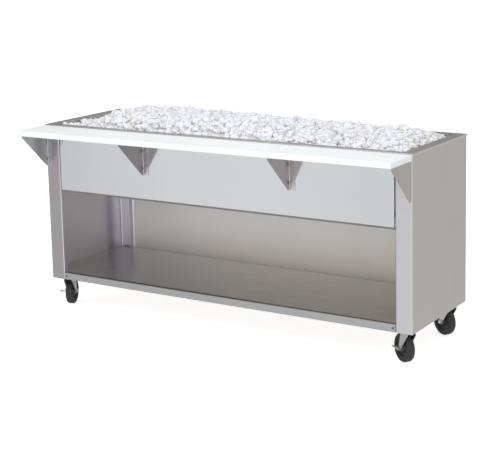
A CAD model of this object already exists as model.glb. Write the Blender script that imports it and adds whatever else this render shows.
"""Looks of the ice display buffet table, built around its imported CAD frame. Lengths are in metres."""

import math
import random

import bmesh
import bpy
from mathutils import Euler, Matrix, Vector
from mathutils.bvhtree import BVHTree


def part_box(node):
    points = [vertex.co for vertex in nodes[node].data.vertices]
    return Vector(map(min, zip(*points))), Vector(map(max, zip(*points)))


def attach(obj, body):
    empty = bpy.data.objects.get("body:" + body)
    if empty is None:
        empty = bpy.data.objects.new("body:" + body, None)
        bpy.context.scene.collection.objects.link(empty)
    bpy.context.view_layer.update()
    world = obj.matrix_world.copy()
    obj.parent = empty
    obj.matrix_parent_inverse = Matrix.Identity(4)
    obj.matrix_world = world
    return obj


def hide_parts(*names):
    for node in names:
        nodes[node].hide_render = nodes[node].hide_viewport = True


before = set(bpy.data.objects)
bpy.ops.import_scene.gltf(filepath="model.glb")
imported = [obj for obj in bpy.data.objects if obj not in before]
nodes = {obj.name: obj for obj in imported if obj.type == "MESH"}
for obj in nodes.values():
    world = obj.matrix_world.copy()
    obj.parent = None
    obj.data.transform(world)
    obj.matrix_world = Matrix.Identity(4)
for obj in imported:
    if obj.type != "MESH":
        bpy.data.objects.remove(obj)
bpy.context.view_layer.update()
scene = bpy.context.scene
SEED = 41
rng = random.Random(SEED)


# Shader nodes


def put(tree, socket, value):
    """Links a socket to the given one, or sets its value."""
    if isinstance(value, bpy.types.NodeSocket):
        tree.links.new(value, socket)
    else:
        socket.default_value = value


def link(tree, kind, settings=None, **inputs):
    """A new node. Each input goes by its socket's name, or by i and the socket's number."""
    made = tree.nodes.new(kind)
    for key, value in (settings or {}).items():
        setattr(made, key, value)
    for key, value in inputs.items():
        put(tree, made.inputs[int(key[1:]) if key[1:].isdigit() else key.replace("_", " ")], value)
    return made


def rgba(colour):
    return (*colour, 1)


NOISE_RANGE = (0.3, 0.7)


class Shader:
    """A material with a Principled surface, and short calls for the nodes round it."""

    def __init__(self, name, **values):
        self.material = bpy.data.materials.new(name)
        self.material.use_nodes = True
        self.tree = self.material.node_tree
        self.surface = self.tree.nodes["Principled BSDF"]
        self.set(**values)

    def set(self, **values):
        for key, value in values.items():
            put(self.tree, self.surface.inputs[key.replace("_", " ")], value)

    def node(self, kind, settings=None, **inputs):
        return link(self.tree, kind, settings, **inputs)

    def math(self, operation, *values):
        inputs = {f"i{k}": value for k, value in enumerate(values)}
        return self.node("ShaderNodeMath", {"operation": operation}, **inputs).outputs[0]

    def place(self, scale=(1, 1, 1)):
        """The row frame's coordinates, times a scale per axis."""
        where = self.node("ShaderNodeTexCoord")
        return self.node("ShaderNodeMapping", Vector=where.outputs["Object"], Scale=scale).outputs["Vector"]

    def noise(self, scale, stretch=(1, 1, 1), detail=3.0, rough=0.5):
        return self.node("ShaderNodeTexNoise", Vector=self.place(stretch), Scale=scale, Detail=detail,
                         Roughness=rough).outputs["Fac"]

    def ramp(self, value, low, high, start, end):
        return self.node("ShaderNodeMapRange", Value=value, From_Min=start, From_Max=end, To_Min=low,
                         To_Max=high).outputs["Result"]

    def spread(self, noise, low, high, middle=NOISE_RANGE):
        """The range that most of a noise lies in, drawn out from low to high."""
        return self.ramp(noise, low, high, *middle)

    def along(self, axis, start, full):
        """0 to 1 along a coordinate. X counts from the middle of the table towards either end."""
        place = self.node("ShaderNodeSeparateXYZ", Vector=self.place()).outputs[axis]
        if axis == "X":
            place = self.math("ABSOLUTE", place)
        return self.ramp(place, 0.0, 1.0, start, full)

    def mix(self, factor, a, b, blend="MIX"):
        return self.node("ShaderNodeMix", {"data_type": "RGBA", "blend_type": blend}, i0=factor, i6=a,
                         i7=b).outputs[2]

    def bump(self, height, strength, distance):
        made = self.node("ShaderNodeBump", Height=height, Strength=strength, Distance=distance)
        self.set(Normal=made.outputs["Normal"])


# Materials

ALONG, UP, ACROSS = (4, 700, 700), (700, 700, 4), (700, 4, 700)
DRAWN_UP, DRAWN_ACROSS = (0.0, 0.01, 1.0), (1.0, 0.01, 0.0)
LINE_SHARE, WEAR_SHARE = 0.6, 0.4


def brushed(name, light, dark, rough, grain=ALONG, spread=0.6, tones=()):
    """Brushed steel: fine lines along the grain, soft wear, and reflections drawn out across the lines.

    Each tone tints the colour along a coordinate: (axis, where it starts, where it is full, tint). After
    these may come limits, each with its own (axis, start, full)."""
    made = Shader(name, Metallic=1.0, Anisotropic=spread)
    lines = made.noise(scale=1.0, stretch=grain, detail=2.0)
    wear = made.noise(scale=3.2, detail=4.0, rough=0.6)
    share = made.math("MULTIPLY_ADD", lines, LINE_SHARE, made.spread(wear, low=0.0, high=WEAR_SHARE))
    colour = made.mix(share, rgba(dark), rgba(light))
    for axis, start, full, tint, *limits in tones:
        share = made.along(axis, start, full)
        for limit in limits:
            share = made.math("MULTIPLY", share, made.along(*limit))
        colour = made.mix(share, colour, rgba(tint), "MULTIPLY")
    drawn = DRAWN_ACROSS if grain == UP else DRAWN_UP
    tangent = made.node("ShaderNodeCombineXYZ", X=drawn[0], Y=drawn[1], Z=drawn[2]).outputs[0]
    made.set(Base_Color=colour, Tangent=tangent,
             Roughness=made.spread(lines, low=rough - 0.04, high=rough + 0.05))
    made.bump(lines, strength=0.04, distance=0.0004)
    return made.material


def mottled(name, light, dark, rough, scale, metal=0.0, bumps=0.1, depth=0.0005):
    """A surface with an uneven tone and a faint texture."""
    made = Shader(name, Metallic=metal)
    spots = made.noise(scale, detail=4.0, rough=0.6)
    made.set(Base_Color=made.mix(made.spread(spots, 0, 1), rgba(dark), rgba(light)),
             Roughness=made.spread(spots, low=rough - 0.05, high=rough + 0.06))
    made.bump(spots, bumps, depth)
    return made.material


def board_plastic():
    """White cutting-board plastic, with fine knife marks and a faint cool tint."""
    dark, light = (0.90, 0.935, 0.955), (0.94, 0.972, 0.99)
    made = Shader("board_white", Roughness=0.42)
    marks = made.noise(scale=1.0, stretch=(90, 1400, 900), detail=2.0)
    cloud = made.noise(scale=5.0, stretch=(1, 2, 2))
    made.set(Base_Color=made.mix(made.spread(cloud, 0, 1), rgba(dark), rgba(light)))
    made.bump(marks, strength=0.06, distance=0.0004)
    return made.material


def ice_look(name, clear, milky):
    """Ice: milky in the core, clear at the skin."""
    made = Shader(name, IOR=1.31, Transmission_Weight=0.15, Coat_Weight=0.3, Coat_Roughness=0.1)
    milk = made.noise(scale=60.0, detail=2.0)
    made.set(Base_Color=made.mix(made.spread(milk, 0, 1, middle=(0.35, 0.65)), rgba(clear), rgba(milky)),
             Roughness=made.spread(milk, low=0.12, high=0.35))
    return made.material


# Tones of the sheets. A band says how far from a face a tone starts and is full.

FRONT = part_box("front_apron")[0].y
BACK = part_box("back_panel")[1].y
RIM_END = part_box("ice_pan")[1].x
FACE_BAND = (0.0012, 0.0004)
PLATE_BAND, FLANGE_EDGE_BAND = (-0.0026, -0.0050), (-0.0024, -0.0018)
INNER_BAND, OUTER_BAND = (-0.0003, -0.0009), (-0.0009, -0.0003)
SHELF_BAND, SHELF_BEND_BAND = (0.03, 0.58), (0.0105, 0.006)
RIM_BAND = (-0.0010, -0.0028)
APRON_ENDS, BAY_HEIGHT = (0.25, 0.85), (0.22, 0.52)
SHELF_BEND, SHELF_FACE = (0.238, 0.228, 0.223), (0.60, 0.655, 0.71)


def band(axis, face, distances):
    return (axis, *(face + distance for distance in distances))


def grey(level):
    return (level, level, level)


def front_face(tint):
    """A front face catches less light than the rest of its sheet."""
    return (*band("Y", FRONT, FACE_BAND), tint)


def bracket_plate(tint):
    """A bracket's plate is darker than the flange that lies on the cabinet's face."""
    return (*band("Y", FRONT, PLATE_BAND), tint)


flange_edge = (*band("Y", FRONT, FLANGE_EDGE_BAND), grey(0.60))
back_inside = ("Z", *BAY_HEIGHT, grey(0.73), band("Y", BACK, INNER_BAND))
back_outside = (*band("Y", BACK, OUTER_BAND), grey(0.87))
shelf_depth = (*band("Y", FRONT, SHELF_BAND), grey(0.68))
shelf_bend = (*band("Y", FRONT, SHELF_BEND_BAND), SHELF_BEND)
shelf_face = front_face([face / bend for face, bend in zip(SHELF_FACE, SHELF_BEND)])
rim_flat = (*band("X", RIM_END, RIM_BAND), (0.62, 0.615, 0.61))
apron_ends = ("X", *APRON_ENDS, (0.905, 0.905, 0.90))

steel = brushed("steel_brushed", (0.757, 0.772, 0.798), (0.695, 0.71, 0.731), 0.12, tones=[apron_ends])
end_steel = brushed("steel_end", (0.79, 0.78, 0.755), (0.71, 0.70, 0.68), 0.34, ACROSS,
                    tones=[front_face((0.83, 0.835, 0.885))])
left_steel = brushed("steel_left_end", (0.72, 0.71, 0.76), (0.635, 0.625, 0.67), 0.34, ACROSS,
                     tones=[front_face((0.635, 0.605, 0.585))])
back_steel = brushed("steel_back", (0.905, 0.885, 0.862), (0.847, 0.832, 0.808), 0.46, UP, spread=0.9,
                     tones=[back_inside, back_outside])
shelf_steel = brushed("steel_shelf", (0.80, 0.735, 0.69), (0.716, 0.656, 0.617), 0.30,
                      tones=[shelf_depth, shelf_bend, shelf_face])
pan_steel = brushed("steel_pan", (0.90, 0.885, 0.875), (0.77, 0.755, 0.745), 0.34, tones=[rim_flat])
bracket_looks = {
    "bracket_1": brushed("steel_bracket_1", (0.585, 0.59, 0.605), (0.495, 0.50, 0.515), 0.36),
    "bracket_2": brushed("steel_bracket_2", (0.79, 0.765, 0.775), (0.665, 0.64, 0.65), 0.36,
                         tones=[bracket_plate((0.435, 0.416, 0.408)), flange_edge]),
    "bracket_3": brushed("steel_bracket_3", (0.77, 0.745, 0.755), (0.645, 0.625, 0.63), 0.36,
                         tones=[bracket_plate((0.592, 0.561, 0.555)), flange_edge]),
    "bracket_4": brushed("steel_bracket_4", (0.72, 0.70, 0.68), (0.64, 0.62, 0.60), 0.36),
}
hem_steel = brushed("steel_hem", (0.50, 0.485, 0.48), (0.44, 0.43, 0.42), 0.50)
cove_steel = brushed("steel_cove", (0.70, 0.70, 0.735), (0.62, 0.62, 0.65), 0.30, ACROSS)
screw_steel = mottled("steel_screw", (0.20, 0.20, 0.21), (0.13, 0.13, 0.14), 0.40, 300, metal=1.0)
bolt_steel = mottled("steel_bolt", (0.66, 0.66, 0.67), (0.52, 0.52, 0.53), 0.30, 300, metal=1.0)
zinc = mottled("zinc_plate", (0.78, 0.81, 0.84), (0.62, 0.66, 0.70), 0.30, 220, metal=1.0)
galvanized = mottled("galvanized_sheet", (0.58, 0.60, 0.62), (0.44, 0.46, 0.48), 0.44, 60, metal=1.0)
brass = mottled("brass_turned", (0.72, 0.55, 0.26), (0.58, 0.43, 0.19), 0.32, 200, metal=1.0)
wool = mottled("wool_fibre", (0.85, 0.74, 0.36), (0.72, 0.60, 0.26), 0.9, 400, bumps=0.5, depth=0.002)
tyre_black = mottled("tyre_black", (0.030, 0.030, 0.029), (0.016, 0.016, 0.016), 0.52, 260)
core_black = mottled("core_black", (0.045, 0.045, 0.043), (0.026, 0.026, 0.025), 0.42, 180)
handle_black = mottled("handle_black", (0.05, 0.05, 0.05), (0.03, 0.03, 0.03), 0.45, 300)
board_white = board_plastic()
ice_top = ice_look("ice_milky", (0.86, 0.88, 0.945), (0.94, 0.955, 1.0))
ice_deep = ice_look("ice_clear", (0.70, 0.675, 0.685), (0.82, 0.80, 0.81))

looks = {
    "left_end_panel": left_steel, "right_end_panel": end_steel, "bottom_shelf": shelf_steel,
    "back_panel": back_steel, "apron_spacers": screw_steel, **bracket_looks,
    "back_panel_rivets": bolt_steel, "shelf_screws": screw_steel, "board_screws": bolt_steel,
    "bracket_bolts": bolt_steel, "valve_ball": bolt_steel, "ice_pan": pan_steel, "left_deck": pan_steel,
    "right_deck": pan_steel, "drain_strainer": pan_steel, "pan_insulation": wool,
    "cutting_board": board_white, "valve_handle": handle_black, "drain_body": brass,
    "drain_locknut": brass, "valve_body": brass, "valve_tail": brass, "pan_jacket": galvanized,
    "front_channel": galvanized, "rear_channel": galvanized, "caster_bolts": zinc,
}
endings = {
    "_caster_plate": zinc, "_kingpin": zinc, "_fork": zinc, "_axle": zinc, "_brake_lever": zinc,
    "_brake_pin": zinc, "_wheel": core_black, "_tyre": tyre_black,
}


def look_of(name):
    if name in looks:
        return looks[name]
    for ending, material in endings.items():
        if name.endswith(ending):
            return material
    return steel


for name, node in nodes.items():
    node.data.materials.clear()
    node.data.materials.append(look_of(name))


# Folded edges: the hem along the foot of the apron, and the coved bends in the rear corners of the bay

SHEET = 0.0012
HEM_DROP, HEM_BEVEL = 0.009, 0.012
BEND_EASE = 0.0013
PANEL_COVE, LIP_COVE = 0.010, 0.016
COVE_STEPS = 10
COVE_TOP_GAP = 0.006
SHARP_ANGLE = math.radians(30)


def bar(name, section, place, span, looks_used, second_from=None):
    """A closed bar: a section carried from one end of a span to the other. Its sides take the second look
    from the given one on."""
    made = bmesh.new()
    rings = [[made.verts.new(place(a, b, t)) for a, b in section] for t in span]
    for k in range(len(section)):
        n = (k + 1) % len(section)
        side = made.faces.new((rings[0][k], rings[0][n], rings[1][n], rings[1][k]))
        side.material_index = int(second_from is not None and k >= second_from)
    for ring in rings:
        made.faces.new(ring)
    bmesh.ops.recalc_face_normals(made, faces=made.faces)
    mesh = bpy.data.meshes.new(name)
    made.to_mesh(mesh)
    made.free()
    mesh.shade_smooth()
    mesh.set_sharp_from_angle(angle=SHARP_ANGLE)
    for look in looks_used:
        mesh.materials.append(look)
    piece = bpy.data.objects.new(name, mesh)
    scene.collection.objects.link(piece)
    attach(piece, "table")


def apron_hem():
    low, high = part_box("front_apron")
    top = low.z + HEM_BEVEL + BEND_EASE
    face, foot = low.z + HEM_BEVEL - HEM_DROP, low.z - HEM_DROP
    back = low.y + HEM_BEVEL
    section = [(low.y, top), (low.y, face), (back, foot), (high.y, foot), (high.y, low.z), (back, low.z)]
    bar("apron_hem", section, lambda y, z, x: (x, y, z), (low.x, high.x), (steel, hem_steel), 1)


def corner_coves():
    foot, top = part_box("bottom_shelf")[1].z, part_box("pan_jacket")[0].z - COVE_TOP_GAP
    low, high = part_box("left_end_panel")
    corners = {"panel": (low.x + SHEET, high.y - SHEET, PANEL_COVE), "lip": (high.x, high.y, LIP_COVE)}
    for end, side in (("left", 1), ("right", -1)):
        for corner, (x, y, r) in corners.items():
            section = [(side * x, y)]
            for k in range(COVE_STEPS + 1):
                angle = math.pi / 2 * k / COVE_STEPS
                section.append((side * (x + r - r * math.cos(angle)), y - r + r * math.sin(angle)))
            bar(f"{end}_{corner}_cove", section, lambda a, b, z: (a, b, z), (foot, top), (cove_steel,))


apron_hem()
corner_coves()


# Ice: loose cubes heaped over the CAD mound, with a milky bed below them. The heap runs out at its left end,
# as in the photo.

LOW_LEFT, BANK_LEFT = 0.095, 0.160
BED_COLUMNS, BED_ROWS, BED_SINK = 90, 24, 0.018
RAY_INSET, RAY_RISE = 0.002, 1
CUBE_INSET = 0.014
CUBE_WIDTH = (0.024, 0.038)
DEPTH_SHARES, HEIGHT_SHARES, CUT_SHARES = (0.65, 1.0), (0.45, 0.7), (0.12, 0.2)
STEP_JITTER, LEVEL_JITTER, TILT = 0.45, 0.003, 0.6
TOP, DEEP = 0, 1
# each layer of cubes: grid step, depth of the centres below the mound, share left out, look
LAYERS = ((0.028, 0.0175, 0.0, DEEP), (0.026, 0.0135, 0.18, TOP), (0.060, 0.001, 0.5, TOP))


def cube_points(size, cut):
    """The 24 corners of a box whose edges are cut back, and its faces."""
    points, keys = [], {}
    for sx in (-1, 1):
        for sy in (-1, 1):
            for sz in (-1, 1):
                sign = (sx, sy, sz)
                for axis in range(3):
                    keys[(sign, axis)] = len(points)
                    backs = [0 if k == axis else cut for k in range(3)]
                    points.append(Vector([sign[k] * (size[k] / 2 - backs[k]) for k in range(3)]))
    faces = []
    for axis in range(3):
        u, v = (axis + 1) % 3, (axis + 2) % 3
        for side in (-1, 1):
            loop = []
            for a, b in ((-1, -1), (1, -1), (1, 1), (-1, 1)):
                sign = [0, 0, 0]
                sign[axis], sign[u], sign[v] = side, a, b
                loop.append(keys[(tuple(sign), axis)])
            faces.append(loop if side > 0 else loop[::-1])
        for a in (-1, 1):
            for b in (-1, 1):
                low, high = [0, 0, 0], [0, 0, 0]
                low[axis], high[axis] = -1, 1
                for sign in (low, high):
                    sign[u], sign[v] = a, b
                low, high = tuple(low), tuple(high)
                loop = [keys[(low, u)], keys[(high, u)], keys[(high, v)], keys[(low, v)]]
                faces.append(loop if a * b < 0 else loop[::-1])
    for (sign, axis), index in list(keys.items()):
        if axis == 0:
            loop = [index, keys[(sign, 1)], keys[(sign, 2)]]
            faces.append(loop if sign[0] * sign[1] * sign[2] > 0 else loop[::-1])
    return points, faces


def clamp(value, low, high):
    return min(max(value, low), high)


def ease(share):
    """A smooth step from 0 to 1."""
    share = clamp(share, 0.0, 1.0)
    return share * share * (3 - 2 * share)


def heap_ice():
    bed = nodes["ice_bed"]
    mound = BVHTree.FromPolygons([v.co for v in bed.data.vertices], [p.vertices for p in bed.data.polygons])
    low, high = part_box("ice_bed")

    def inside(x, y, inset):
        return clamp(x, low.x + inset, high.x - inset), clamp(y, low.y + inset, high.y - inset)

    def mound_level(x, y):
        above = Vector((*inside(x, y, RAY_INSET), high.z + RAY_RISE))
        return mound.ray_cast(above, Vector((0, 0, -1)))[0].z

    foot = mound_level(low.x, low.y)

    def level(x, y):
        return foot + (mound_level(x, y) - foot) * ease((x - low.x - LOW_LEFT) / BANK_LEFT)

    vertices, faces, looks_of_faces = [], [], []
    # the bed, a little below the mound
    for i in range(BED_COLUMNS + 1):
        for j in range(BED_ROWS + 1):
            x = low.x + (high.x - low.x) * i / BED_COLUMNS
            y = low.y + (high.y - low.y) * j / BED_ROWS
            vertices.append(Vector((x, y, level(x, y) - BED_SINK)))
    for i in range(BED_COLUMNS):
        for j in range(BED_ROWS):
            a = i * (BED_ROWS + 1) + j
            faces.append([a, a + BED_ROWS + 1, a + BED_ROWS + 2, a + 1])
    looks_of_faces.extend([DEEP] * len(faces))
    # the cubes, on jittered grids, none of them above the mound's crown
    for step, sink, gaps, look in LAYERS:
        for i in range(int((high.x - low.x) / step)):
            for j in range(int((high.y - low.y) / step)):
                x = low.x + step * (i + 0.5) + rng.uniform(-STEP_JITTER, STEP_JITTER) * step
                y = low.y + step * (j + 0.5) + rng.uniform(-STEP_JITTER, STEP_JITTER) * step
                if rng.random() < gaps:
                    continue
                wide = rng.uniform(*CUBE_WIDTH)
                size = (wide, wide * rng.uniform(*DEPTH_SHARES), wide * rng.uniform(*HEIGHT_SHARES))
                x, y = inside(x, y, CUBE_INSET)
                points, loops = cube_points(size, wide * rng.uniform(*CUT_SHARES))
                tilts = rng.uniform(-TILT, TILT), rng.uniform(-TILT, TILT)
                turn = Euler((*tilts, rng.uniform(0, math.tau))).to_matrix()
                centre = Vector((x, y, level(x, y) - sink + rng.uniform(-LEVEL_JITTER, LEVEL_JITTER)))
                turned = [turn @ p + centre for p in points]
                over = max(0, max(p.z for p in turned) - high.z)
                start = len(vertices)
                vertices.extend(p - Vector((0, 0, over)) for p in turned)
                faces.extend([start + k for k in loop] for loop in loops)
                looks_of_faces.extend([look] * len(loops))
    mesh = bpy.data.meshes.new("ice_heap")
    mesh.from_pydata(vertices, [], faces)
    mesh.materials.append(ice_top)
    mesh.materials.append(ice_deep)
    mesh.polygons.foreach_set("material_index", looks_of_faces)
    heap = bpy.data.objects.new("ice_heap", mesh)
    scene.collection.objects.link(heap)
    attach(heap, "table")
    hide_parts("ice_bed")


heap_ice()


# Stage: white to the camera. What the steel mirrors is a soft gradient, cool and bright behind the camera's
# right shoulder, warm and dim on the far side.

BRIGHT_WAY = (0.54, -0.84, 0.0)
DIM, BRIGHT = 0.34, 1.12
DIM_TONE, BRIGHT_TONE = (1.0, 0.975, 0.935), (0.975, 0.99, 1.0)
WHITE = (1, 1, 1)
FLOOR_SIZE, FLOOR_ROUGH, FLOOR_GLOW = 60, 0.9, 0.70
FLOOR_COLOUR = (0.80, 0.80, 0.79)


def studio_glow(tree):
    """A glow that depends only on the direction of the ray."""
    ray = link(tree, "ShaderNodeTexCoord").outputs["Generated"]
    toward = link(tree, "ShaderNodeVectorMath", {"operation": "DOT_PRODUCT"}, i0=ray, i1=BRIGHT_WAY)
    share = link(tree, "ShaderNodeMapRange", Value=toward.outputs["Value"], From_Min=-1.0, From_Max=1.0)
    strength = link(tree, "ShaderNodeMapRange", Value=share.outputs[0], To_Min=DIM, To_Max=BRIGHT)
    tone = link(tree, "ShaderNodeMix", {"data_type": "RGBA"}, i0=share.outputs[0], i6=rgba(DIM_TONE),
                i7=rgba(BRIGHT_TONE))
    return link(tree, "ShaderNodeBackground", Color=tone.outputs[2], Strength=strength.outputs[0]).outputs[0]


def chosen(tree, factor, yes, no):
    return link(tree, "ShaderNodeMixShader", i0=factor, i1=no, i2=yes).outputs[0]


def seen(tree, path):
    """1 for a ray from the camera, also where it has gone through ice."""
    return link(tree, "ShaderNodeMath", {"operation": "MAXIMUM"}, i0=path["Is Camera Ray"],
                i1=path["Is Transmission Ray"]).outputs[0]


def studio():
    world = bpy.data.worlds.new("studio")
    world.use_nodes = True
    scene.world = world
    tree = world.node_tree
    path = link(tree, "ShaderNodeLightPath").outputs
    white = link(tree, "ShaderNodeBackground", Color=rgba(WHITE), Strength=1.0).outputs[0]
    surface = chosen(tree, seen(tree, path), white, studio_glow(tree))
    tree.links.new(surface, tree.nodes["World Output"].inputs["Surface"])


def pale_floor():
    """A floor that is white to the camera but for the table's shadow, and that the steel doesn't mirror."""
    bpy.ops.mesh.primitive_plane_add(size=FLOOR_SIZE)
    floor = bpy.context.object
    floor.name = "floor"
    look = Shader("floor_white", Base_Color=rgba(FLOOR_COLOUR), Roughness=FLOOR_ROUGH)
    tree, plain = look.tree, look.surface.outputs[0]
    path = link(tree, "ShaderNodeLightPath").outputs
    glow = link(tree, "ShaderNodeEmission", Color=rgba(WHITE), Strength=FLOOR_GLOW).outputs[0]
    shaded = link(tree, "ShaderNodeAddShader", i0=glow, i1=plain).outputs[0]
    clear = link(tree, "ShaderNodeBsdfTransparent").outputs[0]
    mirrored = chosen(tree, path["Is Glossy Ray"], clear, plain)
    surface = chosen(tree, seen(tree, path), shaded, mirrored)
    tree.links.new(surface, tree.nodes["Material Output"].inputs["Surface"])
    floor.data.materials.append(look.material)


def softbox(name, spot, target, size, power):
    lamp = bpy.data.lights.new(name, "AREA")
    lamp.shape = "RECTANGLE"
    lamp.size, lamp.size_y = size
    lamp.energy = power
    made = bpy.data.objects.new(name, lamp)
    scene.collection.objects.link(made)
    made.location = spot
    made.rotation_euler = (Vector(target) - Vector(spot)).to_track_quat("-Z", "Y").to_euler()


studio()
pale_floor()
softbox("overhead", spot=(0.4, -2.1, 3.6), target=(0, 0, 0.8), size=(5.0, 3.0), power=68)


# Camera, as fitted to the photo

EYE = (3.234, -4.972, 1.868)
VIEW_FORWARD, VIEW_RIGHT = (-0.52776, 0.83289, -0.16662), (0.84648, 0.53197, -0.02199)
FOCAL_PIXELS, PHOTO_WIDTH_PIXELS = 1302, 500
SENSOR_MM = 36.0
SHIFT_UP = -0.16


def camera():
    forward = Vector(VIEW_FORWARD).normalized()
    right = Vector(VIEW_RIGHT)
    right = (right - forward * right.dot(forward)).normalized()
    up = right.cross(forward)
    lens = bpy.data.cameras.new("camera")
    lens.sensor_fit = "HORIZONTAL"
    lens.sensor_width = SENSOR_MM
    lens.lens = FOCAL_PIXELS / PHOTO_WIDTH_PIXELS * SENSOR_MM
    lens.shift_y = SHIFT_UP
    made = bpy.data.objects.new("camera", lens)
    scene.collection.objects.link(made)
    turn = Matrix((right, up, -forward)).transposed().to_4x4()
    made.matrix_world = Matrix.Translation(EYE) @ turn
    scene.camera = made


camera()
scene.view_settings.view_transform = "Standard"
